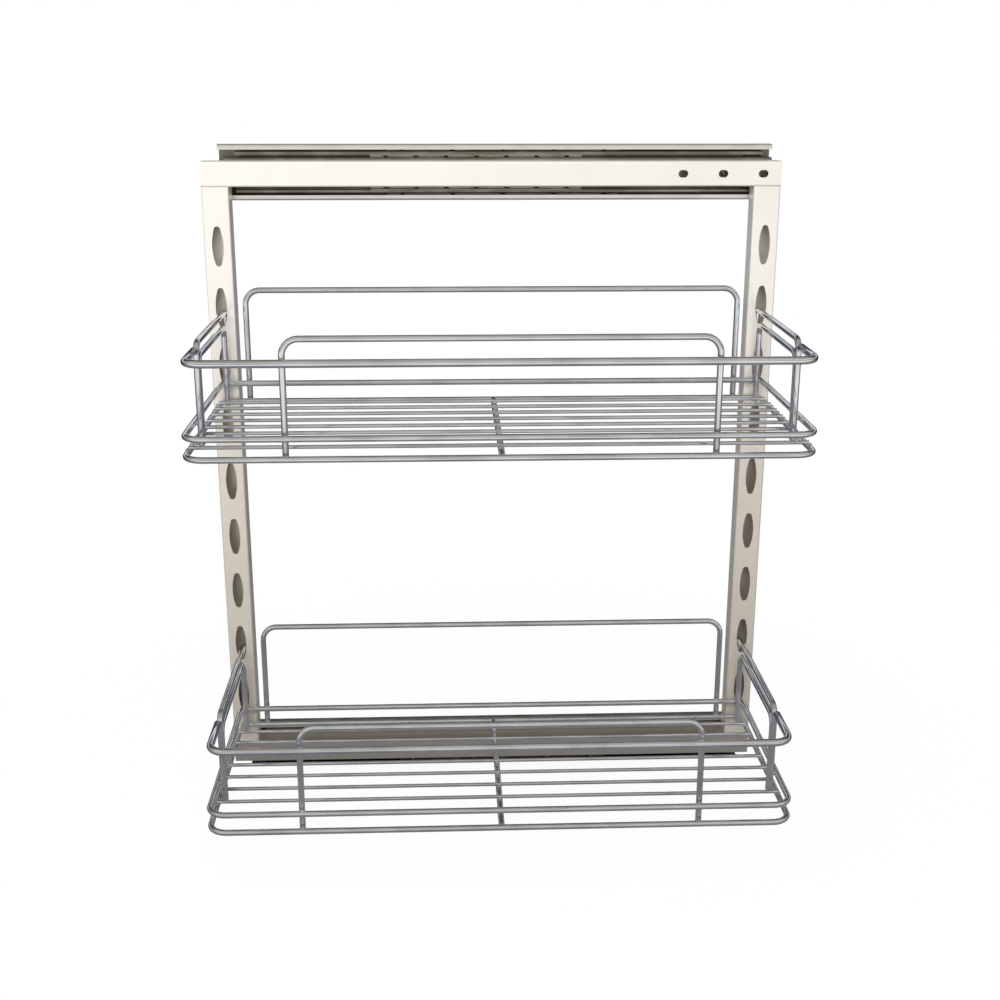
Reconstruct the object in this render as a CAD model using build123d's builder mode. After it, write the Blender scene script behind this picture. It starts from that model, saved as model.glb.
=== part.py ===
"""Side mounted pull-out pantry frame with two hang-on wire baskets.

Millimetres. The cabinet's side wall is the plane Y = 0 and the frame stands on its -Y side.
The frame is pulled out of the cabinet along +X, and +Z is up. The origin is the middle of
the top cabinet rail's row of screw holes, on the rail's back face.
"""
from build123d import *
import os
from math import sqrt

# Ball-bearing slides, one behind each bar of the frame
slide_length = 457.0
slide_height = 45.0
slide_depth = 12.7
sheet = 1.2
cabinet_face_gap = 1.3
cabinet_lip_height = 4.2
cabinet_bend = 1.6
cabinet_hole_radius = 2.25
cabinet_hole_inset = 36.5
cabinet_hole_count = 3
middle_sheet = 1.2
middle_rear_setback = 14.0
middle_front_setback = 7.5
middle_web_gap = 1.1
middle_lip_setback = 1.1
middle_lip_height = 3.0
middle_bend = 1.2
access_hole_radius = 4.5
inner_rear_setback = 5.0
inner_flange_reach = 1.4
inner_bend = 1.4
ball_clearance = 0.05
ball_groove_depth = 0.15
outer_ball_radius = 2.2
inner_ball_radius = 2.2
cage_sheet = 0.5
cage_gap = 0.3
cage_bend = 0.8
cage_end = 12.5
pocket_clearance = 0.1
outer_ball_count = 5
outer_ball_pitch = 42.0
outer_cage_centre = 6.0
inner_ball_count = 7
inner_ball_pitch = 25.0
inner_cage_centre = -16.5
bumper_length = 12.0
bumper_gap = 2.7
bumper_depth = 7.0
bumper_round = 1.5
catch_depth = 8.4
catch_gap = 0.4
stop_length = 13.5
stop_setback = 0.8
stop_gap = 0.3
stop_width = 3.6

# Frame of square tube
frame_height = 535.0
frame_door_overhang = 4.1
frame_back_overhang = 11.2
tube_depth = 20.0
tube_wall = 1.5
tube_round = 1.6
bar_height = 20.0
bottom_slide_drop = 5.0
upright_width = 22.0
slot_count = 9
slot_margin = 47.5
slot_length = 41.4
slot_width = 9.4
slot_tip_radius = 2.6
door_hole_count = 3
door_hole_pitch = 33.0
door_hole_end = 14.9
door_hole_length = 8.0
door_hole_width = 6.0
plug_length = 8.0
plug_clearance = 0.05
plug_chamfer = 0.8

# Pan head screws that hold the inner rails on the bars
screw_count = 3
screw_inset = 45.5
screw_radius = 2.0
screw_clearance = 0.05
screw_length = 8.0
screw_head_radius = 3.8
screw_head_height = 2.2
screw_head_round = 1.0

# Wire baskets, each hung by two hooks from one pair of slots
wire = 4.8
rail_wire = 6.0
floor_wire = 3.0
weld_gap = 0.05
upright_gap = 0.4
slots_above_upper_count = 1
slots_above_lower_count = 7
basket_depth = 190.1
hook_inset = 2.02
ring_corner = 14.0
rim_rise = 15.2
rail_rise = 69.7
rail_spread = 1.05
rail_corner = 13.0
outer_guard_rise = 86.2
outer_guard_inset = 67.65
frame_guard_rise = 92.6
frame_guard_inset = 17.65
guard_corner = 12.0
hook_rise = 74.7
hook_clearance = 0.1
hook_bend = 3.6
hook_tail = 11.0
hook_wall_gap = 0.5
post_setback = 51.4
post_bend = 9.0
brace_rise = 63.8
floor_wire_count = 8
floor_wire_pitch = 20.6
floor_wire_inset = 0.6

# One overrun serves all cuts
overrun = 5.0

# Places worked out from the sizes above
bar_drop = frame_height - bar_height
bar_centres = {"top": 0.0, "bottom": -bar_drop}
slide_centres = {"top": 0.0, "bottom": -bar_drop - bottom_slide_drop}
slide_front = slide_length / 2
slide_rear = -slide_length / 2
frame_front = slide_front + frame_door_overhang
frame_width = slide_length + frame_door_overhang + frame_back_overhang
frame_centre = frame_front - frame_width / 2
bar_back_y = -slide_depth
face_y = bar_back_y - tube_depth
upright_centres = {
    "back": frame_centre - (frame_width - upright_width) / 2,
    "door": frame_centre + (frame_width - upright_width) / 2,
}
upright_height = bar_drop - bar_height
slot_pitch = (upright_height - 2 * slot_margin) / (slot_count - 1)
first_slot_z = -bar_height / 2 - slot_margin

cabinet_rail_depth = slide_depth - cabinet_face_gap
middle_web_depth = sheet + middle_web_gap
middle_front_depth = cabinet_rail_depth - middle_lip_setback
middle_half_height = slide_height / 2 - sheet - 2 * (outer_ball_radius - ball_groove_depth)
inner_half_height = middle_half_height - middle_sheet - 2 * (inner_ball_radius - ball_groove_depth)
outer_ball_depth = cabinet_rail_depth / 2
inner_ball_depth = (middle_web_depth + middle_front_depth) / 2
inner_flange_end = inner_ball_depth - inner_flange_reach
bumper_height = 2 * (inner_half_height - sheet - bumper_gap)
middle_rear = slide_rear + middle_rear_setback
middle_front = slide_front - middle_front_setback
outer_ball_z = (slide_height / 2 - sheet + middle_half_height) / 2
inner_ball_z = (middle_half_height - middle_sheet + inner_half_height) / 2

# The lens of a slot is two arcs of this radius
slot_arc = ((slot_length / 2) ** 2 + (slot_width / 2) ** 2) / slot_width
slot_arc_offset = slot_arc - slot_width / 2

# Baskets: the hooks sit a little inside the middle of the slots and rest on their flanks
wire_radius = wire / 2
upright_half_spacing = (frame_width - upright_width) / 2
end_wire_x = upright_half_spacing - hook_inset
ring_half_width = end_wire_x + wire + weld_gap
rail_half_width = end_wire_x + rail_spread
outer_guard_half_width = end_wire_x - outer_guard_inset
frame_guard_half_width = end_wire_x - frame_guard_inset
hook_reach = slot_arc - wire_radius - hook_clearance
hook_drop = sqrt(hook_reach**2 - (slot_arc_offset + hook_inset) ** 2)
rear_run_y = face_y - upright_gap - wire_radius
outer_run_y = rear_run_y - basket_depth + wire_radius
outer_guard_y = outer_run_y + wire + weld_gap
frame_guard_y = rear_run_y + wire + weld_gap
rail_y = outer_guard_y - wire_radius - rail_wire / 2 - weld_gap
post_y = outer_run_y + post_setback
brace_post_y = post_y + wire + weld_gap
rear_post_y = rear_run_y - wire - weld_gap
ring_rear_corner = wire - weld_gap
hook_tail_y = face_y + tube_wall + hook_wall_gap + wire_radius
floor_lift = wire_radius + floor_wire / 2 + weld_gap


def slide_plane(x, centre_z):
    """Section plane of a slide at x, with its own middle as the plane's origin."""
    return Plane(origin=(x, 0, centre_z), x_dir=(0, 1, 0), z_dir=(1, 0, 0))


def folded_sheet(points, bend, thickness):
    """Section of sheet metal folded along points, given as depth from the wall and height."""
    with BuildLine() as fold:
        FilletPolyline(*[(-depth, height) for depth, height in points], radius=bend)
    trace(fold.line, line_width=thickness)


def mirrored(points):
    """The points and, in turn, their mirror image in the slide's own middle."""
    return points + [(depth, -height) for depth, height in reversed(points)]


def row(count, pitch, centre):
    """Evenly spaced places about a centre."""
    return [centre + pitch * (i - (count - 1) / 2) for i in range(count)]


def span(count, length, centre):
    """Evenly spaced places that fill a length about a centre."""
    return row(count, length / (count - 1), centre)


def ball_tracks(depth, height, radius):
    """Cut the two grooves that a slide's balls run in from the open section."""
    with Locations((-depth, height), (-depth, -height)):
        Circle(radius + ball_clearance, mode=Mode.SUBTRACT)


def finish(builder, name):
    """Name a sub-part and write it."""
    builder.part.label = name
    export_step(builder.part, f"parts/{name}.step")


os.makedirs("parts", exist_ok=True)

hole_row = span(cabinet_hole_count, slide_length - 2 * cabinet_hole_inset, 0)
outer_ball_row = row(outer_ball_count, outer_ball_pitch, outer_cage_centre)
inner_ball_row = row(inner_ball_count, inner_ball_pitch, inner_cage_centre)
screw_row = span(screw_count, frame_width - 2 * screw_inset, frame_centre)

# Slides
for level, centre_z in slide_centres.items():
    # Cabinet rail: the outer channel, whose lips hold the outer row of balls
    with BuildPart() as cabinet_rail:
        with BuildSketch(slide_plane(slide_rear, centre_z)):
            edge = slide_height / 2 - sheet / 2
            lip = cabinet_rail_depth - sheet / 2
            folded_sheet(
                mirrored([(lip, slide_height / 2 - cabinet_lip_height), (lip, edge), (sheet / 2, edge)]),
                cabinet_bend,
                sheet,
            )
            ball_tracks(outer_ball_depth, outer_ball_z, outer_ball_radius)
        extrude(amount=slide_length)
        with BuildSketch(Plane.XZ):
            with Locations(*[(x, centre_z) for x in hole_row]):
                Circle(cabinet_hole_radius)
        extrude(amount=sheet + overrun, both=True, mode=Mode.SUBTRACT)
    finish(cabinet_rail, f"{level}_cabinet_rail")

    # Middle rail: runs in the cabinet rail and carries the inner rail
    with BuildPart() as middle_rail:
        with BuildSketch(slide_plane(middle_rear, centre_z)):
            edge = middle_half_height - middle_sheet / 2
            lip = middle_front_depth - middle_sheet / 2
            web = middle_web_depth + middle_sheet / 2
            folded_sheet(
                mirrored([(lip, middle_half_height - middle_lip_height), (lip, edge), (web, edge)]),
                middle_bend,
                middle_sheet,
            )
            ball_tracks(outer_ball_depth, outer_ball_z, outer_ball_radius)
            ball_tracks(inner_ball_depth, inner_ball_z, inner_ball_radius)
        extrude(amount=middle_front - middle_rear)
        with BuildSketch(Plane.XZ):
            with Locations(*[(x, centre_z) for x in hole_row]):
                Circle(access_hole_radius)
        extrude(amount=slide_depth, mode=Mode.SUBTRACT)
    finish(middle_rail, f"{level}_middle_rail")

    # Inner rail: screwed to the back of the bar
    with BuildPart() as inner_rail:
        with BuildSketch(slide_plane(slide_rear + inner_rear_setback, centre_z)):
            edge = inner_half_height - sheet / 2
            folded_sheet(
                mirrored([(inner_flange_end, edge), (slide_depth - sheet / 2, edge)]),
                inner_bend,
                sheet,
            )
            ball_tracks(inner_ball_depth, inner_ball_z, inner_ball_radius)
        extrude(amount=slide_length - inner_rear_setback)
        with BuildSketch(Plane.XZ):
            with Locations(*[(x, centre_z) for x in screw_row]):
                Circle(screw_radius + screw_clearance)
        extrude(amount=slide_depth + overrun, mode=Mode.SUBTRACT)
    finish(inner_rail, f"{level}_inner_rail")

    # Outer cage: spaces the balls between the cabinet rail and the middle rail
    with BuildPart() as outer_cage:
        cage_start = outer_ball_row[0] - cage_end
        cage_length = outer_ball_row[-1] + cage_end - cage_start
        with BuildSketch(slide_plane(cage_start, centre_z)):
            folded_sheet(
                mirrored(
                    [
                        (cabinet_rail_depth - sheet - cage_gap * 2, outer_ball_z),
                        (sheet + cage_gap + cage_sheet / 2, outer_ball_z),
                    ]
                ),
                cage_bend,
                cage_sheet,
            )
        extrude(amount=cage_length)
        with BuildSketch(Plane.XY.offset(centre_z)):
            with Locations(*[(x, -outer_ball_depth) for x in outer_ball_row]):
                Circle(outer_ball_radius + pocket_clearance)
        extrude(amount=slide_height / 2, both=True, mode=Mode.SUBTRACT)
        with BuildSketch(Plane.XZ):
            with Locations(*[(x, centre_z) for x in hole_row]):
                Circle(access_hole_radius)
        extrude(amount=slide_depth, mode=Mode.SUBTRACT)
    finish(outer_cage, f"{level}_outer_cage")

    # Inner cage: spaces the balls between the middle rail and the inner rail
    with BuildPart() as inner_cage:
        cage_start = inner_ball_row[0] - cage_end
        cage_length = inner_ball_row[-1] + cage_end - cage_start
        cage_web = middle_web_depth + middle_sheet + cage_gap + cage_sheet / 2
        with BuildSketch(slide_plane(cage_start, centre_z)):
            folded_sheet(
                mirrored(
                    [
                        (middle_front_depth - middle_sheet - cage_gap, inner_ball_z),
                        (cage_web, inner_ball_z),
                    ]
                ),
                cage_bend,
                cage_sheet,
            )
        extrude(amount=cage_length)
        with BuildSketch(Plane.XY.offset(centre_z)):
            with Locations(*[(x, -inner_ball_depth) for x in inner_ball_row]):
                Circle(inner_ball_radius + pocket_clearance)
        extrude(amount=middle_half_height, both=True, mode=Mode.SUBTRACT)
    finish(inner_cage, f"{level}_inner_cage")

    # Rear bumper: the plastic stop that the closing middle rail meets, with a catch below it
    with BuildPart() as rear_bumper:
        with BuildSketch(slide_plane(slide_rear, centre_z)):
            with Locations((-sheet - bumper_depth / 2, 0)):
                RectangleRounded(bumper_depth, bumper_height, bumper_round)
            catch_high = -inner_half_height - catch_gap
            catch_low = sheet + cabinet_bend - slide_height / 2
            with Locations((-sheet - catch_depth / 2, (catch_high + catch_low) / 2)):
                Rectangle(catch_depth, catch_high - catch_low)
            strap_depth = inner_flange_end - sheet - catch_gap
            with Locations((-sheet - strap_depth / 2, catch_high / 2)):
                Rectangle(strap_depth, -catch_high)
        extrude(amount=bumper_length)
    finish(rear_bumper, f"{level}_rear_bumper")

    # Front stops: two plastic blocks under the middle rail's flanges
    with BuildPart() as front_stops:
        with BuildSketch(slide_plane(middle_front - stop_setback - stop_length, centre_z)):
            stop_low = inner_half_height + stop_gap
            stop_high = middle_half_height - middle_sheet
            with Locations(
                (-inner_ball_depth, (stop_low + stop_high) / 2),
                (-inner_ball_depth, -(stop_low + stop_high) / 2),
            ):
                Rectangle(stop_width, stop_high - stop_low)
        extrude(amount=stop_length)
    finish(front_stops, f"{level}_front_stops")

    # Screws of the inner rail, with their heads inside its channel
    with BuildPart() as rail_screws:
        for x in screw_row:
            with BuildSketch(Plane.XY.offset(centre_z)):
                head_y = -slide_depth + sheet
                with BuildLine():
                    Polyline(
                        (x, head_y + screw_head_height),
                        (x + screw_head_radius - screw_head_round, head_y + screw_head_height),
                        (x + screw_head_radius, head_y + screw_head_height - screw_head_round),
                        (x + screw_head_radius, head_y),
                        (x + screw_radius, head_y),
                        (x + screw_radius, head_y - screw_length + screw_head_round),
                        (x + screw_radius - screw_head_round, head_y - screw_length),
                        (x, head_y - screw_length),
                        close=True,
                    )
                make_face()
            revolve(axis=Axis((x, 0, centre_z), (0, 1, 0)))
    finish(rail_screws, f"{level}_rail_screws")

# Balls, one node for each row of races
with BuildPart() as outer_balls:
    for centre_z in slide_centres.values():
        for x in outer_ball_row:
            for side in (1, -1):
                with Locations((x, -outer_ball_depth, centre_z + side * outer_ball_z)):
                    Sphere(outer_ball_radius)
finish(outer_balls, "outer_balls")

with BuildPart() as inner_balls:
    for centre_z in slide_centres.values():
        for x in inner_ball_row:
            for side in (1, -1):
                with Locations((x, -inner_ball_depth, centre_z + side * inner_ball_z)):
                    Sphere(inner_ball_radius)
finish(inner_balls, "inner_balls")

# Bars: square tube across the frame, with the door bracket's slotted holes at the door end
for level, centre_z in bar_centres.items():
    with BuildPart() as bar:
        with BuildSketch(slide_plane(frame_centre - frame_width / 2, centre_z)):
            with Locations((bar_back_y - tube_depth / 2, 0)):
                RectangleRounded(tube_depth, bar_height, tube_round)
                Rectangle(tube_depth - 2 * tube_wall, bar_height - 2 * tube_wall, mode=Mode.SUBTRACT)
        extrude(amount=frame_width)
        with BuildSketch(Plane.XZ.offset(-face_y)):
            with Locations(
                *[(frame_front - door_hole_end - door_hole_pitch * i, centre_z) for i in range(door_hole_count)]
            ):
                SlotOverall(door_hole_length, door_hole_width)
        extrude(amount=tube_wall + overrun, both=True, mode=Mode.SUBTRACT)
        with BuildSketch(Plane.XZ.offset(-bar_back_y)):
            with Locations(*[(x, slide_centres[level]) for x in screw_row]):
                Circle(screw_radius + screw_clearance)
        extrude(amount=tube_wall + overrun, both=True, mode=Mode.SUBTRACT)
    finish(bar, f"{level}_bar")

# Uprights: tube between the bars, with a ladder of lens-shaped slots in the front wall
with BuildSketch() as slot_lens:
    with BuildLine():
        flank = ThreePointArc((0, slot_length / 2), (slot_width / 2, 0), (0, -slot_length / 2))
        mirror(flank, about=Plane.YZ)
    make_face()
    fillet(slot_lens.vertices(), slot_tip_radius)

for end, centre_x in upright_centres.items():
    with BuildPart() as upright:
        with BuildSketch(Plane.XY.offset(-bar_drop + bar_height / 2)):
            with Locations((centre_x, bar_back_y - tube_depth / 2)):
                RectangleRounded(upright_width, tube_depth, tube_round)
                Rectangle(upright_width - 2 * tube_wall, tube_depth - 2 * tube_wall, mode=Mode.SUBTRACT)
        extrude(amount=upright_height)
        with BuildSketch(Plane.XZ.offset(-face_y)):
            with Locations(*[(centre_x, first_slot_z - slot_pitch * i) for i in range(slot_count)]):
                add(slot_lens.sketch)
        extrude(amount=-tube_wall - overrun, mode=Mode.SUBTRACT)
    finish(upright, f"{end}_upright")

# Plugs that close the four ends of the bars
with BuildPart() as bar_end_plugs:
    for centre_z in bar_centres.values():
        for start in (frame_front - plug_length, frame_front - frame_width):
            with BuildSketch(slide_plane(start, centre_z)):
                with Locations((bar_back_y - tube_depth / 2, 0)):
                    Rectangle(
                        tube_depth - 2 * (tube_wall + plug_clearance),
                        bar_height - 2 * (tube_wall + plug_clearance),
                    )
            extrude(amount=plug_length)
finish(bar_end_plugs, "bar_end_plugs")


def bent_wire(points, bend, diameter, close=False):
    """Round wire bent along points, inside the open part."""
    with BuildLine() as route:
        FilletPolyline(*points, radius=bend, close=close)
    start = route.wire() @ 0
    heading = route.wire() % 0
    with BuildSketch(Plane(origin=start, z_dir=heading)) as section:
        Circle(diameter / 2)
    sweep(section.sketch, path=route.wire())


def hanging_heights(slots_above):
    """Heights of a basket's hooks and floor ring when it hangs below so many free slots."""
    hook_z = first_slot_z - slot_pitch * slots_above - hook_drop
    return hook_z, hook_z - hook_rise


# Baskets
for basket, slots_above in {"upper": slots_above_upper_count, "lower": slots_above_lower_count}.items():
    hook_z, ring_z = hanging_heights(slots_above)
    foot_z = ring_z - wire_radius

    # Closed rings: the floor ring carries the floor, the rim ring stands above it
    for ring, rise in {"floor_ring": 0.0, "rim_ring": rim_rise}.items():
        with BuildPart() as basket_ring:
            left = frame_centre - ring_half_width
            right = frame_centre + ring_half_width
            bent_wire(
                [
                    (left, outer_run_y, ring_z + rise),
                    (right, outer_run_y, ring_z + rise),
                    (right, rear_run_y, ring_z + rise),
                    (left, rear_run_y, ring_z + rise),
                ],
                [ring_corner, ring_corner, ring_rear_corner, ring_rear_corner],
                wire,
                close=True,
            )
        finish(basket_ring, f"{basket}_{ring}")

    # Floor: thin wires laid along the basket on the ring and on one wire across it
    with BuildPart() as floor_wires:
        for i in range(1, floor_wire_count + 1):
            floor_start = frame_centre - ring_half_width + floor_wire_inset
            floor_y = outer_run_y + floor_wire_pitch * i
            with BuildSketch(Plane(origin=(floor_start, floor_y, ring_z + floor_lift), z_dir=(1, 0, 0))):
                Circle(floor_wire / 2)
            extrude(amount=2 * (ring_half_width - floor_wire_inset))
    finish(floor_wires, f"{basket}_floor_wires")

    with BuildPart() as cross_wire:
        cross_start = outer_run_y + wire_radius + weld_gap
        cross_end = rear_run_y - wire_radius - weld_gap
        with BuildSketch(Plane(origin=(frame_centre, cross_start, ring_z), z_dir=(0, 1, 0))):
            Circle(wire_radius)
        extrude(amount=cross_end - cross_start)
    finish(cross_wire, f"{basket}_cross_wire")

    # Outer rail: the thick top wire along the open side, bent back to the end posts
    with BuildPart() as outer_rail:
        rail_z = ring_z + rail_rise
        rail_end_y = post_y - wire_radius - weld_gap
        bent_wire(
            [
                (frame_centre - rail_half_width, rail_end_y, rail_z),
                (frame_centre - rail_half_width, rail_y, rail_z),
                (frame_centre + rail_half_width, rail_y, rail_z),
                (frame_centre + rail_half_width, rail_end_y, rail_z),
            ],
            rail_corner,
            rail_wire,
        )
    finish(outer_rail, f"{basket}_outer_rail")

    # Guards: one hoop on the open side, and one between the uprights
    guards = {
        "outer_guard": (outer_guard_half_width, outer_guard_y, outer_guard_rise),
        "frame_guard": (frame_guard_half_width, frame_guard_y, frame_guard_rise),
    }
    for guard, (half_width, guard_y, rise) in guards.items():
        with BuildPart() as hoop:
            bent_wire(
                [
                    (frame_centre - half_width, guard_y, foot_z),
                    (frame_centre - half_width, guard_y, ring_z + rise),
                    (frame_centre + half_width, guard_y, ring_z + rise),
                    (frame_centre + half_width, guard_y, foot_z),
                ],
                guard_corner,
                wire,
            )
        finish(hoop, f"{basket}_{guard}")

    # End frames: a hooked wire and, under it, the brace that stands on the floor ring
    for end, side in {"back": -1, "door": 1}.items():
        end_x = frame_centre + side * end_wire_x
        with BuildPart() as hook_wire:
            bent_wire(
                [
                    (end_x, hook_tail_y, hook_z - hook_tail),
                    (end_x, hook_tail_y, hook_z),
                    (end_x, post_y, hook_z),
                    (end_x, post_y, foot_z),
                ],
                [hook_bend, post_bend],
                wire,
            )
        finish(hook_wire, f"{basket}_{end}_hook_wire")

        with BuildPart() as brace_wire:
            bent_wire(
                [
                    (end_x, rear_post_y, foot_z),
                    (end_x, rear_post_y, ring_z + brace_rise),
                    (end_x, brace_post_y, ring_z + brace_rise),
                    (end_x, brace_post_y, foot_z),
                ],
                post_bend,
                wire,
            )
        finish(brace_wire, f"{basket}_{end}_brace_wire")
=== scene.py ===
"""Looks for a side mounted pull-out pantry frame.

A satin nickel frame of tube runs on two plated ball-bearing slides and carries two baskets of
bent, welded and chromed wire. Sizes are in metres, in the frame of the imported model.
"""
from math import pi, radians, tan

import bmesh
import bpy
from bpy.props import FloatProperty, FloatVectorProperty, IntProperty, PointerProperty
from mathutils import Matrix, Vector


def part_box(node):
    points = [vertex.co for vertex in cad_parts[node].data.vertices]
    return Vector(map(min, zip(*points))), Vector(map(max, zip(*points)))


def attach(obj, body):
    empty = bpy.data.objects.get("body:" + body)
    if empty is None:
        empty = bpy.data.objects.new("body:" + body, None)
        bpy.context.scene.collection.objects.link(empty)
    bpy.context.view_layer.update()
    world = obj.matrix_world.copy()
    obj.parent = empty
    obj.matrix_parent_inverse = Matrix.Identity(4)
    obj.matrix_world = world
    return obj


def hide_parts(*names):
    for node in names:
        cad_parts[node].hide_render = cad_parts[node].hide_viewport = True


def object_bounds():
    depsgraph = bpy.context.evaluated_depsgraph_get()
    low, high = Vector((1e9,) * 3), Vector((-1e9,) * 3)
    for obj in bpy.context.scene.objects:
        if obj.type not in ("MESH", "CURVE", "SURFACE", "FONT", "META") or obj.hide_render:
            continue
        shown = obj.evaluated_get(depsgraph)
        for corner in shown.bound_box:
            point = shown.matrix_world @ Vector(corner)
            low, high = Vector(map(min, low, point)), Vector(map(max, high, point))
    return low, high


bl_info = {
    "name": "Pull-Out Pantry Frame",
    "version": (1, 0, 0),
    "blender": (4, 5, 0),
    "location": "View3D > Sidebar > Pantry",
    "description": "Chromed wire baskets on a satin frame with ball-bearing slides",
    "category": "Add Mesh",
}

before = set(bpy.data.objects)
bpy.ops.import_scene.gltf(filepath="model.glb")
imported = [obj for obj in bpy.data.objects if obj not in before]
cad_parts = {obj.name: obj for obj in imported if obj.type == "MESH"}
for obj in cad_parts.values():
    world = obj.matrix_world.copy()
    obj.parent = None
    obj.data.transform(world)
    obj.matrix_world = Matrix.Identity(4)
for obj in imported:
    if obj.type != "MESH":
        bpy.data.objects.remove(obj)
cad_box = [list(corner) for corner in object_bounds()]
BASKETS = ("upper", "lower")
ENDS = {"back": -1, "door": 1}
SLIDES = ("top", "bottom")

# Shares of a wire's diameter: its rounded ends, and the nuggets of its welds
END_SHARE = 0.1
FLOOR_WELD_SHARE = 0.62
RING_WELD_SHARE = 0.42
RAIL_WELD_SHARE = 0.45
HOOK_WELD_SHARE = 0.48
CROSS_WELD_SHARE = 0.5
FLAT_WELD_SHARE = 0.55

# Wire diameters to the welds of a brace wire on its hook wire: up from the rim, down from its top
WELD_RISE = 2
WELD_DROP = 3
MERGE_DISTANCE = 1e-6
QUAD_SIDES = 4

# Zinc plated parts of a slide: material, Y where painted shade sets in behind the lips, and share
# of painted shade all over (dark inner rails standing in for their shade)
ZINC_PARTS = {
    "cabinet_rail": ("zinc plate", -0.0098, 0.0),
    "middle_rail": ("zinc plate, middle rail", -0.0092, 0.9),
    "inner_rail": ("zinc plate, inner rail", -0.0112, 0.85),
    "rail_screws": ("zinc plate, screws", 0.0, 0.0),
}

# Depth over which the painted shade of the rails' depths sets in, and the Y between which it ends
# at the rails' backs
PAINTED_SHADE_DEPTH = 0.004
UNSHADED_BACK = (-0.0008, -0.0002)

# Heights between which painted shade on the lower frame fades into the clear nickel above, and what
# is left of its tint in that painted shade
PAINTED_SHADE_HEIGHTS = (-0.26, -0.12)
PAINTED_SHADE_SHARES = (0.80, 0.77, 0.72)

# Shares of metal in the nickel of the frame and of its bottom bar
NICKEL_METAL_SHARE = 0.45
BOTTOM_BAR_METAL_SHARE = 0.95

# Colours of bare steel and grease, and of the painted shade in the slides' depths
PAINTED_DEPTH_SHADE = (0.13, 0.105, 0.068)
CAGE_STEEL = (0.88, 0.85, 0.77)
CAGE_GREASE = (0.42, 0.37, 0.28)
BALL_STEEL = (0.36, 0.34, 0.30)
BALL_GREASE = (0.16, 0.14, 0.10)

# The studio as metal mirrors it: the floor by its distance, the room by the slope of the ray
WHITE = (1.0, 1.0, 1.0)
SWEEP_CLOTH = (0.9, 0.9, 0.9, 1.0)
SWEEP_DROP = 0.001
SWEEP_SHADE_SHARE = 0.15
SWEEP_SHADE_REACH = (0.25, 0.8)
NEAR_FLOOR = (0.23, 0.232, 0.24)
FAR_FLOOR = (0.95, 0.95, 0.95)
FAR_FLOOR_REACH = (0.40, 1.0)
BACK_FLOOR = (0.08, 0.092, 0.125)
BACK_FLOOR_REACH = (0.0, 0.4)
FRONT_ROOM = (0.45, 0.435, 0.405)
SOFT_BOX = (0.92, 0.90, 0.86)
SOFT_BOX_RISE = (0.36, 0.44)
SOFT_BOX_FALL = (0.56, 0.66)
SOFT_BOX_FRONT = (0.1, 0.4)
LOW_BACK = (0.045, 0.058, 0.095)
HIGH_BACK = (0.10, 0.088, 0.07)
BACK_RISE = (0.2, 0.4)
BACK_TURN = (0.0, 0.4)
WINDOW = (0.95, 0.95, 0.97)
WINDOW_RISE = (0.18, 0.24)
WINDOW_FALL = (0.30, 0.36)


def node_box(node):
    """Lowest and highest corner of a node, as vectors."""
    low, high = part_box(node)
    return Vector(low), Vector(high)


def node_size(node):
    """Size of a node along the three axes."""
    low, high = node_box(node)
    return high - low


# Settings that a user would change
class WireSettings(bpy.types.PropertyGroup):
    """Diameters and bends of the basket wires"""

    wire: FloatProperty(
        name="Wire", description="Diameter of rings, guards and end wires",
        default=node_size("upper_cross_wire").z, unit="LENGTH", precision=4,
    )
    rail: FloatProperty(
        name="Outer rail", description="Diameter of the thick top wire",
        default=node_size("upper_outer_rail").z, unit="LENGTH", precision=4,
    )
    floor: FloatProperty(
        name="Floor wire", description="Diameter of the floor wires",
        default=node_size("upper_floor_wires").z, unit="LENGTH", precision=4,
    )
    floor_count: IntProperty(
        name="Floor wires", description="Floor wires in a basket", default=8, min=2,
    )
    ring_corner: FloatProperty(
        name="Ring corner", description="Bend of the rings at the open side",
        default=0.014, unit="LENGTH", precision=4,
    )
    rear_corner: FloatProperty(
        name="Rear ring corner", description="Bend of the rings at the frame",
        default=0.00475, unit="LENGTH", precision=4,
    )
    rail_corner: FloatProperty(
        name="Rail corner", description="Bend of the outer rail",
        default=0.013, unit="LENGTH", precision=4,
    )
    guard_corner: FloatProperty(
        name="Guard corner", description="Bend of the guard hoops",
        default=0.012, unit="LENGTH", precision=4,
    )
    post_bend: FloatProperty(
        name="Post bend", description="Bend of the end wires into their posts",
        default=0.009, unit="LENGTH", precision=4,
    )
    hook_bend: FloatProperty(
        name="Hook bend", description="Bend of the hook inside the slot",
        default=0.0036, unit="LENGTH", precision=4,
    )
    hook_tail: FloatProperty(
        name="Hook tail", description="Drop of the hook's tail",
        default=0.011, unit="LENGTH", precision=4,
    )
    sides: IntProperty(name="Sides", description="Sides of a round wire", default=24, min=8)
    bend_steps: IntProperty(
        name="Bend steps", description="Steps of a bend", default=9, min=3,
    )


class FinishSettings(bpy.types.PropertyGroup):
    """Colours of the finishes"""

    nickel: FloatVectorProperty(
        name="Satin nickel", description="Frame colour", subtype="COLOR", size=3,
        default=(0.86, 0.82, 0.76),
    )
    chrome: FloatVectorProperty(
        name="Chrome", description="Wire colour", subtype="COLOR", size=3,
        default=(0.80, 0.81, 0.84),
    )
    lower_nickel: FloatVectorProperty(
        name="Lower bar", description="Colour of the bottom bar", subtype="COLOR", size=3,
        default=(0.85, 0.83, 0.80),
    )
    zinc: FloatVectorProperty(
        name="Zinc plate", description="Slide colour", subtype="COLOR", size=3,
        default=(0.88, 0.86, 0.80),
    )
    black_plastic: FloatVectorProperty(
        name="Black plastic", description="Stops and bumpers", subtype="COLOR", size=3,
        default=(0.018, 0.017, 0.018),
    )
    grey_plastic: FloatVectorProperty(
        name="Grey plastic", description="Plugs in the bars", subtype="COLOR", size=3,
        default=(0.36, 0.34, 0.31),
    )


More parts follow.
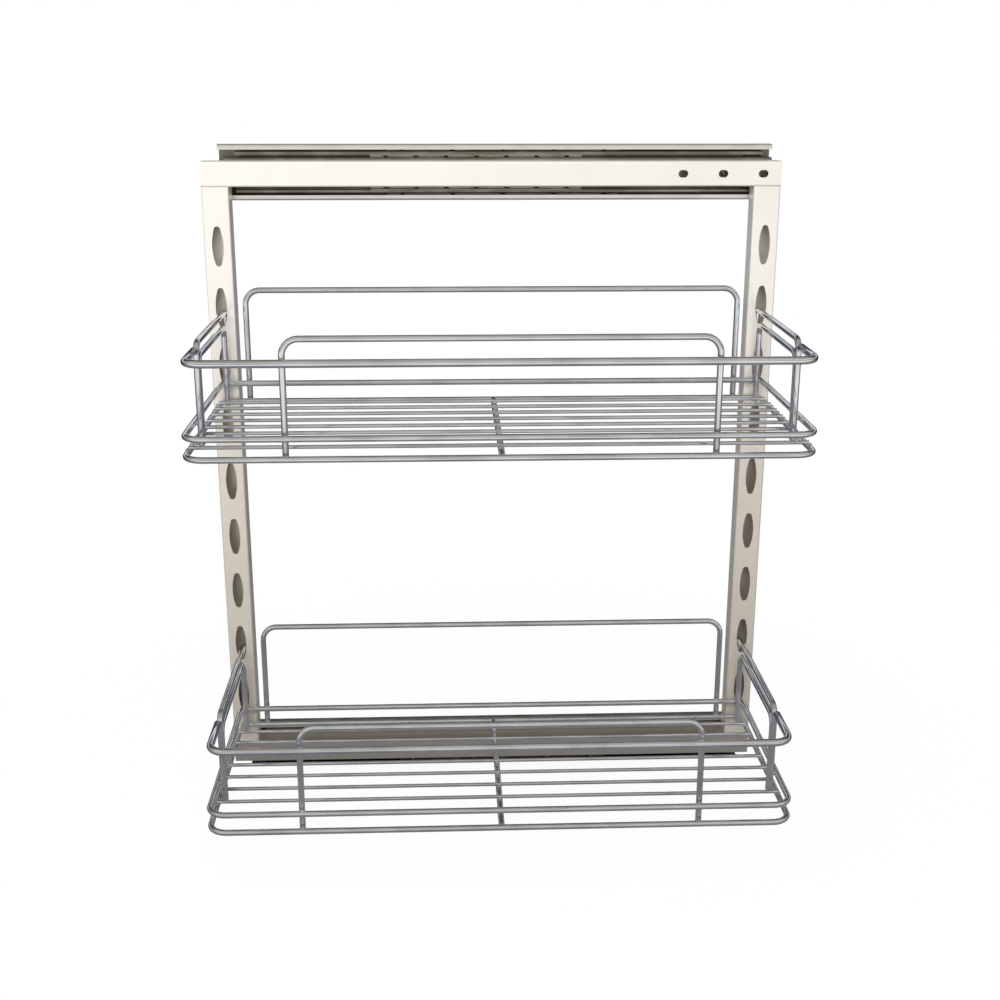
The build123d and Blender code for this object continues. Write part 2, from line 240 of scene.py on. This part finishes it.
class StageSettings(bpy.types.PropertyGroup):
    """Camera and studio"""

    lens: FloatProperty(name="Lens", description="Focal length", default=49.539, unit="CAMERA")
    camera_place: FloatVectorProperty(
        name="Camera", description="Place of the camera", subtype="TRANSLATION", unit="LENGTH",
        size=3, default=(-0.04428, -1.17661, 0.07583),
    )
    pitch: FloatProperty(
        name="Pitch", description="Tilt down", subtype="ANGLE", default=radians(17.115),
    )
    yaw: FloatProperty(
        name="Yaw", description="Turn to the right", subtype="ANGLE", default=radians(2.335),
    )
    roll: FloatProperty(
        name="Roll", description="Turn about the view", subtype="ANGLE", default=radians(0.085),
    )
    sky: FloatProperty(
        name="Room light", description="Strength of the even light", default=0.55, min=0.0,
    )
    key: FloatProperty(
        name="Key light", description="Power of the large soft lamp", default=23.0, unit="POWER",
    )
    key_place: FloatVectorProperty(
        name="Key place", description="Place of the lamp", subtype="TRANSLATION", unit="LENGTH",
        size=3, default=(-0.35, -1.0, 0.75),
    )
    key_aim: FloatVectorProperty(
        name="Key aim", description="Point that the lamp faces", subtype="TRANSLATION",
        unit="LENGTH", size=3, default=(0.0, 0.0, -0.05),
    )
    key_width: FloatProperty(
        name="Key width", description="Width of the lamp", default=1.4, unit="LENGTH",
    )
    key_height: FloatProperty(
        name="Key height", description="Height of the lamp", default=1.0, unit="LENGTH",
    )
    floor_size: FloatProperty(
        name="Floor", description="Side of the floor", default=40.0, unit="LENGTH",
    )


# Shader sums as Python expressions
class Sock:
    """A shader output that Python's operators add maths nodes to."""

    def __init__(self, shader, link):
        self.shader = shader
        self.link = link

    def __add__(self, other):
        return self.shader.maths("ADD", self, other)

    def __rsub__(self, other):
        return self.shader.maths("SUBTRACT", other, self)

    def __mul__(self, other):
        return self.shader.maths("MULTIPLY", self, other)

    __radd__ = __add__
    __rmul__ = __mul__


class Shader:
    """Node tree of one material or of the world."""

    def __init__(self, owner):
        owner.use_nodes = True
        self.tree = owner.node_tree
        self.tree.nodes.clear()

    def node(self, kind, inputs=None, output=0, **settings):
        """Adds a node, its settings first, then its sockets, and returns one of its outputs."""
        made = self.tree.nodes.new(kind)
        for name, value in settings.items():
            setattr(made, name, value)
        for name, value in (inputs or {}).items():
            socket = made.inputs[name]
            if isinstance(value, Sock):
                self.tree.links.new(value.link, socket)
            else:
                socket.default_value = value
        return Sock(self, made.outputs[output]) if made.outputs else None

    def maths(self, operation, *values):
        """A Math node on sockets or numbers."""
        return self.node("ShaderNodeMath", dict(enumerate(values)), operation=operation)

    def mix(self, factor, first, second):
        """Mixes two colours, by the numbers of the Mix node's colour sockets."""
        first, second = (
            colour if isinstance(colour, Sock) else (*colour, 1.0) for colour in (first, second)
        )
        return self.node(
            "ShaderNodeMix", {0: factor, 6: first, 7: second}, output=2, data_type="RGBA",
        )

    def band(self, value, low, high):
        """Zero below low, one above high, smooth between."""
        return self.node(
            "ShaderNodeMapRange", {"Value": value, "From Min": low, "From Max": high},
            interpolation_type="SMOOTHSTEP",
        )

    def stripe(self, value, rise, fall):
        """One between a rise and a fall, zero outside them."""
        return self.band(value, *rise) * (1 - self.band(value, *fall))

    def place(self):
        """Object coordinates."""
        return self.node("ShaderNodeTexCoord", output="Object")

    def along(self, axis, vector):
        """One axis of a vector, by its letter."""
        return self.node("ShaderNodeSeparateXYZ", {"Vector": vector}, output=axis)

    def ray(self, kind):
        """One where a ray is of a kind, such as Camera."""
        return self.node("ShaderNodeLightPath", output=f"Is {kind} Ray")

    def noise(self, vector, scale, detail=2.0, stretch=(1.0, 1.0, 1.0)):
        """Noise, stretched along the axes."""
        vector = self.node("ShaderNodeMapping", {"Vector": vector, "Scale": stretch})
        return self.node(
            "ShaderNodeTexNoise", {"Vector": vector, "Scale": scale, "Detail": detail},
        )

    def surface(self, **inputs):
        """Principled surface to the output, with underscores for the spaces in names."""
        inputs = {name.replace("_", " "): value for name, value in inputs.items()}
        bsdf = self.node("ShaderNodeBsdfPrincipled", inputs)
        self.node("ShaderNodeOutputMaterial", {"Surface": bsdf})

    def bump(self, height, strength, distance):
        """Bump from a height."""
        return self.node(
            "ShaderNodeBump", {"Height": height, "Strength": strength, "Distance": distance},
        )


def new_material(name):
    """Material that is made once and found again after that, with its shader when it is new."""
    found = bpy.data.materials.get(name)
    if found:
        return found, None
    made = bpy.data.materials.new(name)
    return made, Shader(made)


def chromed_wire():
    """Bright chrome on drawn wire, with faint clouds and small pits."""
    made, sh = new_material("chromed wire")
    if sh:
        tint = tuple(bpy.context.scene.pantry_finish.chrome)
        place = sh.place()
        clouds = sh.noise(place, scale=28.0, detail=3.0)
        pits = sh.noise(place, scale=700.0, detail=2.0)
        colour = sh.mix(sh.band(clouds, 0.35, 0.7), tint, tuple(0.80 * part for part in tint))
        rough = 0.09 + 0.07 * sh.band(clouds, 0.4, 0.75) + 0.02 * pits
        relief = sh.bump(pits, strength=0.04, distance=0.0001)
        sh.surface(Base_Color=colour, Metallic=1.0, Roughness=rough, Normal=relief)
    return made


def satin_nickel(name, tint, metal=NICKEL_METAL_SHARE):
    """Satin nickel coat on tube, with fine grain and soft clouds, and painted shade that darkens
    its lower half.
    """
    made, sh = new_material(name)
    if sh:
        tint = tuple(tint)
        place = sh.place()
        # Painted shade: the nickel is darker towards the bottom, standing in for the light that
        # falls off lower down
        lower_shade = 1 - sh.band(sh.along("Z", place), *PAINTED_SHADE_HEIGHTS)
        clouds = sh.noise(place, scale=18.0, detail=3.0)
        grain = sh.noise(place, scale=2600.0, detail=1.0)
        shaded_tint = tuple(part * share for part, share in zip(tint, PAINTED_SHADE_SHARES))
        cloudy = tuple(0.88 * part for part in tint)
        colour = sh.mix(lower_shade, tint, shaded_tint)
        colour = sh.mix(0.25 * sh.band(clouds, 0.35, 0.75), colour, cloudy)
        rough = 0.27 + 0.08 * clouds + 0.04 * grain
        relief = sh.bump(grain, strength=0.06, distance=0.0001)
        sh.surface(Base_Color=colour, Metallic=metal, Roughness=rough, Normal=relief)
    return made


def zinc_plate(name, face, shade_share):
    """Zinc plate on rolled strip: bright lips, painted shade in its depths and, by a share, all
    over, a back without it, and rolling marks.
    """
    made, sh = new_material(name)
    if sh:
        tint = tuple(bpy.context.scene.pantry_finish.zinc)
        place = sh.place()
        # Painted shade: the rail is darker behind its lips where shade falls, and darker all over
        # by the given share
        depth_shade = sh.stripe(sh.along("Y", place), (face, face + PAINTED_SHADE_DEPTH), UNSHADED_BACK)
        marks = sh.noise(place, scale=300.0, detail=3.0, stretch=(0.02, 1.0, 1.0))
        clouds = sh.noise(place, scale=40.0, detail=2.0)
        grease_and_painted_shade = sh.maths("MAXIMUM", 0.9 * depth_shade, shade_share)
        cloudy = tuple(0.7 * part for part in tint)
        colour = sh.mix(grease_and_painted_shade, tint, PAINTED_DEPTH_SHADE)
        colour = sh.mix(0.3 * sh.band(clouds, 0.4, 0.7), colour, cloudy)
        rough = 0.22 + 0.18 * marks + 0.15 * depth_shade
        relief = sh.bump(marks, strength=0.12, distance=0.0003)
        sh.surface(Base_Color=colour, Metallic=0.9, Roughness=rough, Normal=relief)
    return made


def strip_steel():
    """Plain strip of the ball cages, with patches of brown grease."""
    made, sh = new_material("strip steel")
    if sh:
        grease_and_painted_shade = sh.noise(sh.place(), scale=120.0, detail=3.0, stretch=(0.3, 1.0, 1.0))
        colour = sh.mix(sh.band(grease_and_painted_shade, 0.45, 0.8), CAGE_STEEL, CAGE_GREASE)
        sh.surface(Base_Color=colour, Metallic=0.6, Roughness=0.28 + 0.3 * grease_and_painted_shade)
    return made


def bearing_steel():
    """Dark polished balls with a film of grease."""
    made, sh = new_material("bearing steel")
    if sh:
        grease_and_painted_shade = sh.noise(sh.place(), scale=400.0, detail=2.0)
        colour = sh.mix(sh.band(grease_and_painted_shade, 0.5, 0.8), BALL_STEEL, BALL_GREASE)
        sh.surface(Base_Color=colour, Metallic=1.0, Roughness=0.08 + 0.1 * grease_and_painted_shade)
    return made


def moulded_plastic(name, tint):
    """Moulded plastic with a fine spark texture."""
    made, sh = new_material(name)
    if sh:
        grain = sh.noise(sh.place(), scale=1800.0, detail=2.0)
        colour = sh.mix(grain, tuple(tint), tuple(1.3 * part for part in tint))
        relief = sh.bump(grain, strength=0.15, distance=0.0002)
        sh.surface(Base_Color=colour, Roughness=0.42 + 0.12 * grain, Normal=relief)
    return made


# Wire work
def edges_between(points):
    """Edges whose two ends are both among the points."""
    depth_shade = set(points)
    edges = {edge for point in points for edge in point.link_edges}
    return [edge for edge in edges if depth_shade.issuperset(edge.verts)]


def push_rim(bm, rim, step):
    """Pushes the open end of a wire along a straight run."""
    made = bmesh.ops.extrude_edge_only(bm, edges=rim)["geom"]
    points = [item for item in made if isinstance(item, bmesh.types.BMVert)]
    bmesh.ops.translate(bm, verts=points, vec=step)
    return edges_between(points)


def bend_rim(bm, rim, centre, axis, angle, steps):
    """Bends the open end of a wire about a centre."""
    points = list({point for edge in rim for point in edge.verts})
    made = bmesh.ops.spin(
        bm, geom=points + rim, cent=centre, axis=axis, dvec=(0, 0, 0), angle=angle, steps=steps,
        use_duplicate=False,
    )["geom_last"]
    points = [item for item in made if isinstance(item, bmesh.types.BMVert)]
    return edges_between(points)


def bent_wire(bm, corners, bends, thickness, closed=False):
    """Round wire along corners: pushed along its runs and spun round its bends."""
    sizes = bpy.context.scene.pantry_wires
    corners = [Vector(corner) for corner in corners]
    if closed:
        middle = (corners[-1] + corners[0]) / 2
        corners = [middle] + corners + [middle]
    at = corners[0]
    heading = (corners[1] - at).normalized()
    turned = Matrix.Translation(at) @ heading.to_track_quat("Z", "Y").to_matrix().to_4x4()
    circle = bmesh.ops.create_circle(
        bm, cap_ends=False, radius=thickness / 2, segments=sizes.sides, matrix=turned,
    )["verts"]
    rim = first = edges_between(circle)
    for corner, after, radius in zip(corners[1:], corners[2:], bends):
        onward = (after - corner).normalized()
        angle = heading.angle(onward)
        axis = heading.cross(onward).normalized()
        start = corner - heading * radius * tan(angle / 2)
        rim = push_rim(bm, rim, start - at)
        centre = start + axis.cross(heading) * radius
        rim = bend_rim(bm, rim, centre, axis, angle, sizes.bend_steps)
        at = corner + onward * radius * tan(angle / 2)
        heading = onward
    rim = push_rim(bm, rim, corners[-1] - at)
    if not closed:
        for end in (first, rim):
            bmesh.ops.contextual_create(bm, geom=end)
            bmesh.ops.bevel(
                bm, geom=end, offset=thickness * END_SHARE, segments=2, profile=0.5,
                affect="EDGES", material=-1,
            )


def keep_piece(bm, name, body, material, nodes=()):
    """Makes the mesh an object that rides on its body and stands for its nodes."""
    bmesh.ops.remove_doubles(bm, verts=bm.verts, dist=MERGE_DISTANCE)
    bmesh.ops.recalc_face_normals(bm, faces=bm.faces)
    # Walls and bevels are shaded smooth, end caps flat
    for face in bm.faces:
        face.smooth = len(face.verts) <= QUAD_SIDES
    mesh = bpy.data.meshes.new(name)
    bm.to_mesh(mesh)
    bm.free()
    mesh.materials.append(material)
    piece = bpy.data.objects.new(name, mesh)
    bpy.context.scene.collection.objects.link(piece)
    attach(piece, body)
    if nodes:
        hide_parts(*nodes)


def wire_piece(node, corners, bends, thickness, closed=False):
    """One bent wire that stands for a node."""
    bm = bmesh.new()
    bent_wire(bm, corners, bends, thickness, closed)
    body = node.split("_")[0] + "_basket"
    keep_piece(bm, "smooth_" + node, body, chromed_wire(), [node])


class PANTRY_OT_rings(bpy.types.Operator):
    """Floor ring and rim ring of each basket"""

    bl_idname = "pantry.rings"
    bl_label = "Basket rings"

    def execute(self, context):
        sizes = context.scene.pantry_wires
        for basket in BASKETS:
            for ring in ("floor_ring", "rim_ring"):
                node = f"{basket}_{ring}"
                low, high = node_box(node)
                half = Vector.Fill(3, sizes.wire / 2)
                low, high = low + half, high - half
                corners = [
                    (low.x, low.y, low.z), (high.x, low.y, low.z),
                    (high.x, high.y, low.z), (low.x, high.y, low.z),
                ]
                bends = [sizes.ring_corner] * 2 + [sizes.rear_corner] * 2
                wire_piece(node, corners, bends, sizes.wire, closed=True)
        return {"FINISHED"}


class PANTRY_OT_floors(bpy.types.Operator):
    """Floor wires of each basket and the wire across under them"""

    bl_idname = "pantry.floors"
    bl_label = "Basket floors"

    def execute(self, context):
        sizes = context.scene.pantry_wires
        for basket in BASKETS:
            node = f"{basket}_floor_wires"
            low, high = node_box(node)
            bm = bmesh.new()
            for y, z in floor_places(basket, sizes):
                bent_wire(bm, [(low.x, y, z), (high.x, y, z)], [], sizes.floor)
            keep_piece(
                bm, "smooth_" + node, f"{basket}_basket", chromed_wire(), [node],
            )
            node = f"{basket}_cross_wire"
            low, high = node_box(node)
            middle = (low + high) / 2
            corners = [(middle.x, low.y, middle.z), (middle.x, high.y, middle.z)]
            wire_piece(node, corners, [], sizes.wire)
        return {"FINISHED"}


def floor_places(basket, sizes):
    """Y and Z of each floor wire of a basket."""
    low, high = node_box(f"{basket}_floor_wires")
    first = low.y + sizes.floor / 2
    pitch = (high.y - sizes.floor / 2 - first) / (sizes.floor_count - 1)
    return [(first + pitch * i, (low.z + high.z) / 2) for i in range(sizes.floor_count)]


class PANTRY_OT_rails(bpy.types.Operator):
    """Thick outer rail of each basket"""

    bl_idname = "pantry.rails"
    bl_label = "Outer rails"

    def execute(self, context):
        sizes = context.scene.pantry_wires
        for basket in BASKETS:
            node = f"{basket}_outer_rail"
            low, high = node_box(node)
            half = sizes.rail / 2
            z = low.z + half
            corners = [
                (low.x + half, high.y, z), (low.x + half, low.y + half, z),
                (high.x - half, low.y + half, z), (high.x - half, high.y, z),
            ]
            wire_piece(node, corners, [sizes.rail_corner] * 2, sizes.rail)
        return {"FINISHED"}


class PANTRY_OT_guards(bpy.types.Operator):
    """Guard hoops at the open side and between the uprights"""

    bl_idname = "pantry.guards"
    bl_label = "Guard hoops"

    def execute(self, context):
        sizes = context.scene.pantry_wires
        half = sizes.wire / 2
        for basket in BASKETS:
            for guard in ("outer_guard", "frame_guard"):
                node = f"{basket}_{guard}"
                low, high = node_box(node)
                y = (low.y + high.y) / 2
                corners = [
                    (low.x + half, y, low.z), (low.x + half, y, high.z - half),
                    (high.x - half, y, high.z - half), (high.x - half, y, low.z),
                ]
                wire_piece(node, corners, [sizes.guard_corner] * 2, sizes.wire)
        return {"FINISHED"}


class PANTRY_OT_end_wires(bpy.types.Operator):
    """Hooked wire and brace wire at the two ends of each basket"""

    bl_idname = "pantry.end_wires"
    bl_label = "End wires"

    def execute(self, context):
        sizes = context.scene.pantry_wires
        half = sizes.wire / 2
        for basket in BASKETS:
            for end in ENDS:
                node = f"{basket}_{end}_hook_wire"
                low, high = node_box(node)
                x = (low.x + high.x) / 2
                top = high.z - half
                corners = [
                    (x, high.y - half, top - sizes.hook_tail), (x, high.y - half, top),
                    (x, low.y + half, top), (x, low.y + half, low.z),
                ]
                wire_piece(node, corners, [sizes.hook_bend, sizes.post_bend], sizes.wire)
                node = f"{basket}_{end}_brace_wire"
                low, high = node_box(node)
                top = high.z - half
                corners = [
                    (x, high.y - half, low.z), (x, high.y - half, top),
                    (x, low.y + half, top), (x, low.y + half, low.z),
                ]
                wire_piece(node, corners, [sizes.post_bend] * 2, sizes.wire)
        return {"FINISHED"}


def weld(bm, point, across, radius):
    """Flattened nugget of a resistance weld, with its thin way along across."""
    turned = Vector(across).to_track_quat("Z", "Y").to_matrix().to_4x4()
    flattened = Matrix.Diagonal((radius, radius, radius * FLAT_WELD_SHARE, 1.0))
    shape = Matrix.Translation(point) @ turned @ flattened
    bmesh.ops.create_icosphere(bm, subdivisions=2, radius=1.0, matrix=shape)


class PANTRY_OT_welds(bpy.types.Operator):
    """Weld nuggets where the wires of a basket cross"""

    bl_idname = "pantry.welds"
    bl_label = "Welds"

    def execute(self, context):
        sizes = context.scene.pantry_wires
        half = sizes.wire / 2
        for basket in BASKETS:
            bm = bmesh.new()
            ring_low, ring_high = node_box(f"{basket}_floor_ring")
            rim_low, rim_high = node_box(f"{basket}_rim_ring")
            levels = ((ring_low.z + ring_high.z) / 2, (rim_low.z + rim_high.z) / 2)
            middle = (ring_low.x + ring_high.x) / 2
            for y, z in floor_places(basket, sizes):
                for x in (ring_low.x + half, middle, ring_high.x - half):
                    weld(bm, (x, y, levels[0] + half), (0, 0, 1), sizes.floor * FLOOR_WELD_SHARE)
            for guard, rail_y in (("outer_guard", ring_low.y), ("frame_guard", ring_high.y)):
                low, high = node_box(f"{basket}_{guard}")
                meet = rail_y + sizes.wire if guard == "outer_guard" else rail_y
                for x in (low.x + half, high.x - half):
                    for z in levels:
                        weld(bm, (x, meet, z), (0, 1, 0), sizes.wire * RING_WELD_SHARE)
            rail_low, rail_high = node_box(f"{basket}_outer_rail")
            rail_z = (rail_low.z + rail_high.z) / 2
            low, high = node_box(f"{basket}_outer_guard")
            for x in (low.x + half, high.x - half):
                weld(bm, (x, low.y, rail_z), (0, 1, 0), sizes.wire * RAIL_WELD_SHARE)
            for end, side in ENDS.items():
                hook_low, hook_high = node_box(f"{basket}_{end}_hook_wire")
                brace_low, brace_high = node_box(f"{basket}_{end}_brace_wire")
                x = hook_high.x if side > 0 else hook_low.x
                for y in (hook_low.y + half, brace_low.y + half, brace_high.y - half):
                    for z in levels:
                        weld(bm, (x, y, z), (1, 0, 0), sizes.wire * RING_WELD_SHARE)
                x = (hook_low.x + hook_high.x) / 2
                weld(bm, (x, hook_low.y, rail_z), (0, 1, 0), sizes.wire * HOOK_WELD_SHARE)
                above = levels[1] + sizes.wire * WELD_RISE
                below = brace_high.z - sizes.wire * WELD_DROP
                for z in (above, below):
                    weld(bm, (x, brace_low.y, z), (0, 1, 0), sizes.wire * RING_WELD_SHARE)
            cross_low, cross_high = node_box(f"{basket}_cross_wire")
            for y in (cross_low.y, cross_high.y):
                weld(bm, (middle, y, levels[0]), (0, 1, 0), sizes.wire * CROSS_WELD_SHARE)
            keep_piece(bm, f"{basket}_welds", f"{basket}_basket", chromed_wire())
        return {"FINISHED"}


def dress(node, material):
    """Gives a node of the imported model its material."""
    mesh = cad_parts[node].data
    mesh.materials.clear()
    mesh.materials.append(material)


class PANTRY_OT_tube(bpy.types.Operator):
    """Finish of the bars, uprights and plugs"""

    bl_idname = "pantry.tube"
    bl_label = "Frame tube"

    def execute(self, context):
        tints = context.scene.pantry_finish
        for node in ("top_bar", "back_upright", "door_upright"):
            dress(node, satin_nickel("satin nickel", tints.nickel))
        lower = tints.lower_nickel
        dress("bottom_bar", satin_nickel("satin nickel, bottom bar", lower, BOTTOM_BAR_METAL_SHARE))
        dress("bar_end_plugs", moulded_plastic("grey plastic", tints.grey_plastic))
        return {"FINISHED"}


class PANTRY_OT_slides(bpy.types.Operator):
    """Finish of the slides, their balls, cages, stops and screws"""

    bl_idname = "pantry.slides"
    bl_label = "Slides"

    def execute(self, context):
        tints = context.scene.pantry_finish
        black = moulded_plastic("black plastic", tints.black_plastic)
        for slide in SLIDES:
            for part, plate in ZINC_PARTS.items():
                dress(f"{slide}_{part}", zinc_plate(*plate))
            for cage in ("outer_cage", "inner_cage"):
                dress(f"{slide}_{cage}", strip_steel())
            for stop in ("rear_bumper", "front_stops"):
                dress(f"{slide}_{stop}", black)
        for balls in ("outer_balls", "inner_balls"):
            dress(balls, bearing_steel())
        return {"FINISHED"}


class PANTRY_OT_stage(bpy.types.Operator):
    """Pale floor, soft studio light and the camera"""

    bl_idname = "pantry.stage"
    bl_label = "Stage"

    def execute(self, context):
        stage = context.scene.pantry_stage
        self.make_floor(context, stage)
        self.make_room(context, stage)
        self.make_lamp(context, stage)
        self.make_camera(context, stage)
        context.scene.view_settings.view_transform = "Standard"
        return {"FINISHED"}

    def make_floor(self, context, stage):
        """White sweep. Metal mirrors it bright far in front, grey near and dark behind."""
        bm = bmesh.new()
        low = Vector(cad_box[0])
        bmesh.ops.create_grid(
            bm, x_segments=1, y_segments=1, size=stage.floor_size / 2,
            matrix=Matrix.Translation((0, 0, low.z - SWEEP_DROP)),
        )
        mesh = bpy.data.meshes.new("floor")
        bm.to_mesh(mesh)
        bm.free()
        material = bpy.data.materials.new("white sweep")
        sh = Shader(material)
        seen = sh.ray("Camera")
        mirrored = sh.ray("Glossy")
        place = sh.place()
        reach = sh.node("ShaderNodeVectorMath", {0: place}, output="Value", operation="LENGTH")
        across = sh.along("Y", place)
        metal = sh.mix(sh.band(0 - across, *FAR_FLOOR_REACH), NEAR_FLOOR, FAR_FLOOR)
        metal = sh.mix(sh.band(across, *BACK_FLOOR_REACH), metal, BACK_FLOOR)
        shown = sh.mix(mirrored, WHITE, metal)
        cloth = sh.node("ShaderNodeBsdfDiffuse", {"Color": SWEEP_CLOTH})
        glow = sh.node("ShaderNodeEmission", {"Color": shown, "Strength": 1.0})
        shade = 1 - SWEEP_SHADE_SHARE + SWEEP_SHADE_SHARE * sh.band(reach, *SWEEP_SHADE_REACH)
        factor = sh.maths("MAXIMUM", seen * shade, mirrored)
        surface = sh.node("ShaderNodeMixShader", {0: factor, 1: cloth, 2: glow})
        sh.node("ShaderNodeOutputMaterial", {"Surface": surface})
        mesh.materials.append(material)
        floor = bpy.data.objects.new("floor", mesh)
        context.scene.collection.objects.link(floor)

    def make_room(self, context, stage):
        """Even light, white to the camera. Metal mirrors a soft box in front, a window behind."""
        world = bpy.data.worlds.new("studio")
        context.scene.world = world
        sh = Shader(world)
        way = sh.node("ShaderNodeTexCoord", output="Generated")
        y, z = sh.along("Y", way), sh.along("Z", way)
        strip = sh.stripe(z, SOFT_BOX_RISE, SOFT_BOX_FALL) * sh.band(0 - y, *SOFT_BOX_FRONT)
        behind = sh.band(y, *BACK_TURN)
        window = sh.stripe(z, WINDOW_RISE, WINDOW_FALL)
        wall = sh.mix(sh.band(z, *BACK_RISE), LOW_BACK, HIGH_BACK)
        metal = sh.mix(strip, FRONT_ROOM, SOFT_BOX)
        metal = sh.mix(behind, metal, wall)
        metal = sh.mix(behind * window, metal, WINDOW)
        even = sh.mix(sh.ray("Glossy"), (stage.sky, stage.sky, stage.sky), metal)
        white = sh.maths("MAXIMUM", sh.ray("Camera"), sh.ray("Transmission"))
        colour = sh.mix(white, even, WHITE)
        back = sh.node("ShaderNodeBackground", {"Color": colour, "Strength": 1.0})
        sh.node("ShaderNodeOutputWorld", {"Surface": back})

    def make_lamp(self, context, stage):
        """One large soft lamp above and in front."""
        data = bpy.data.lights.new("soft box", "AREA")
        data.shape = "RECTANGLE"
        data.size = stage.key_width
        data.size_y = stage.key_height
        data.energy = stage.key
        lamp = bpy.data.objects.new("soft box", data)
        place = Vector(stage.key_place)
        turned = (Vector(stage.key_aim) - place).to_track_quat("-Z", "Y").to_matrix().to_4x4()
        lamp.matrix_world = Matrix.Translation(place) @ turned
        lamp.visible_glossy = False
        context.scene.collection.objects.link(lamp)

    def make_camera(self, context, stage):
        """Camera of the photograph."""
        data = bpy.data.cameras.new("camera")
        data.lens = stage.lens
        data.sensor_width = 36.0
        data.clip_start = 0.01
        camera = bpy.data.objects.new("camera", data)
        turn = Matrix.Rotation(-stage.yaw, 4, "Z") @ Matrix.Rotation(pi / 2 - stage.pitch, 4, "X")
        turn = turn @ Matrix.Rotation(stage.roll, 4, "Z")
        camera.matrix_world = Matrix.Translation(stage.camera_place) @ turn
        context.scene.collection.objects.link(camera)
        context.scene.camera = camera


class PANTRY_PT_panel(bpy.types.Panel):
    """Sidebar panel with the settings and the steps"""

    bl_label = "Pantry Frame"
    bl_idname = "PANTRY_PT_panel"
    bl_space_type = "VIEW_3D"
    bl_region_type = "UI"
    bl_category = "Pantry"

    def draw(self, context):
        for group in ("pantry_wires", "pantry_finish", "pantry_stage"):
            settings = getattr(context.scene, group)
            box = self.layout.box()
            for name in settings.__annotations__:
                box.prop(settings, name)
        for step in STEPS:
            self.layout.operator(step.bl_idname)


STEPS = (
    PANTRY_OT_rings,
    PANTRY_OT_floors,
    PANTRY_OT_rails,
    PANTRY_OT_guards,
    PANTRY_OT_end_wires,
    PANTRY_OT_welds,
    PANTRY_OT_tube,
    PANTRY_OT_slides,
    PANTRY_OT_stage,
)
CLASSES = (WireSettings, FinishSettings, StageSettings, *STEPS, PANTRY_PT_panel)


def register():
    """Adds the classes and the settings."""
    for item in CLASSES:
        bpy.utils.register_class(item)
    bpy.types.Scene.pantry_wires = PointerProperty(type=WireSettings)
    bpy.types.Scene.pantry_finish = PointerProperty(type=FinishSettings)
    bpy.types.Scene.pantry_stage = PointerProperty(type=StageSettings)


def unregister():
    """Takes the settings and the classes out again."""
    for name in ("pantry_wires", "pantry_finish", "pantry_stage"):
        delattr(bpy.types.Scene, name)
    for item in reversed(CLASSES):
        bpy.utils.unregister_class(item)


def main():
    """Makes every piece in order."""
    register()
    for step in STEPS:
        group, name = step.bl_idname.split(".")
        getattr(getattr(bpy.ops, group), name)()


if __name__ == "__main__":
    main()
